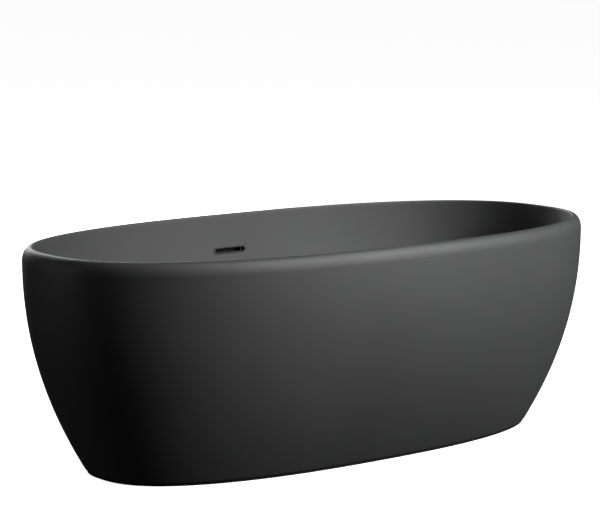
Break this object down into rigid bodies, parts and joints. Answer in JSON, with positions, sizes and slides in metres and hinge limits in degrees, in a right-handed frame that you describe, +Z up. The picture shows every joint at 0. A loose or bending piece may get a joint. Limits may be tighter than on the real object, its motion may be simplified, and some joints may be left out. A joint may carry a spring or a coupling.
{
  "type": "freestanding bathtub",
  "caption": "Oval double-ended freestanding bath with a tapered double-wall shell, slotted overflow, push-open waste and a steel frame on levelling feet.",
  "frame": {"origin": "on the floor, under the middle of the bath", "axes": "+X along the bath, +Y towards the overflow side, +Z up"},
  "size_m": [1.7, 0.835, 0.58],
  "materials": {
    "bath_shell": "satin black acrylic with a fine, even surface",
    "rubber": "soft black rubber",
    "board": "sealed chipboard",
    "timber": "sawn softwood",
    "frame_steel": "dark grey powder coat",
    "zinc_steel": "bright zinc plating",
    "bare_steel": "welded steel",
    "stainless_steel": "polished strip",
    "brass": "turned brass",
    "waste_metal": "matt black coated brass",
    "black_plastic": "moulded black plastic",
    "drain_plastic": "moulded pale grey plastic",
    "hose_plastic": "ribbed pale grey plastic"
  },
  "bodies": {
    "tub": {"basin": "bath_shell", "skirt": "bath_shell", "edge_seal": "rubber", "baseboard": "board", "rail_front": "frame_steel", "rail_back": "frame_steel", "cross_member_left": "frame_steel", "cross_member_right": "frame_steel", "centre_tie_left": "frame_steel", "centre_tie_right": "frame_steel", "rail_end_caps": "black_plastic", "board_screws": "zinc_steel", "block_screws": "zinc_steel", "weld_nuts": "bare_steel", "lock_nuts": "zinc_steel", "waste_flange": "waste_metal", "waste_washer_top": "rubber", "waste_washer_bottom": "rubber", "waste_body": "drain_plastic", "click_cartridge": "drain_plastic", "overflow_trim": "black_plastic", "overflow_gasket": "rubber", "overflow_box": "black_plastic", "overflow_screws": "waste_metal", "overflow_hose": "hose_plastic", "hose_clamp": "stainless_steel", "hose_nut": "drain_plastic", "hose_washer": "rubber", "bonding_block_front_left": "timber", "bonding_block_front_right": "timber", "bonding_block_back_left": "timber", "bonding_block_back_right": "timber", "plug_spring": "stainless_steel"},
    "plug": {"plug_cap": "waste_metal", "plug_seal": "rubber", "plug_stem": "brass"},
    "foot_front_left": {"foot_stud_front_left": "zinc_steel", "foot_pad_front_left": "black_plastic"},
    "foot_front_right": {"foot_stud_front_right": "zinc_steel", "foot_pad_front_right": "black_plastic"},
    "foot_back_left": {"foot_stud_back_left": "zinc_steel", "foot_pad_back_left": "black_plastic"},
    "foot_back_right": {"foot_stud_back_right": "zinc_steel", "foot_pad_back_right": "black_plastic"},
    "foot_middle": {"foot_stud_middle": "zinc_steel", "foot_pad_middle": "black_plastic"}
  },
  "joints": [
    {"name": "plug_slide", "type": "slide", "parent": "tub", "child": "plug", "axis": [0, 0, 1], "range_m": [0, 0.009], "deforming": ["plug_spring"]},
    {"name": "level_front_left", "type": "slide", "parent": "tub", "child": "foot_front_left", "axis": [0, 0, -1], "range_m": [0, 0.02]},
    {"name": "level_front_right", "type": "slide", "parent": "tub", "child": "foot_front_right", "axis": [0, 0, -1], "range_m": [0, 0.02]},
    {"name": "level_back_left", "type": "slide", "parent": "tub", "child": "foot_back_left", "axis": [0, 0, -1], "range_m": [0, 0.02]},
    {"name": "level_back_right", "type": "slide", "parent": "tub", "child": "foot_back_right", "axis": [0, 0, -1], "range_m": [0, 0.02]},
    {"name": "level_middle", "type": "slide", "parent": "tub", "child": "foot_middle", "axis": [0, 0, -1], "range_m": [0, 0.02]}
  ]
}
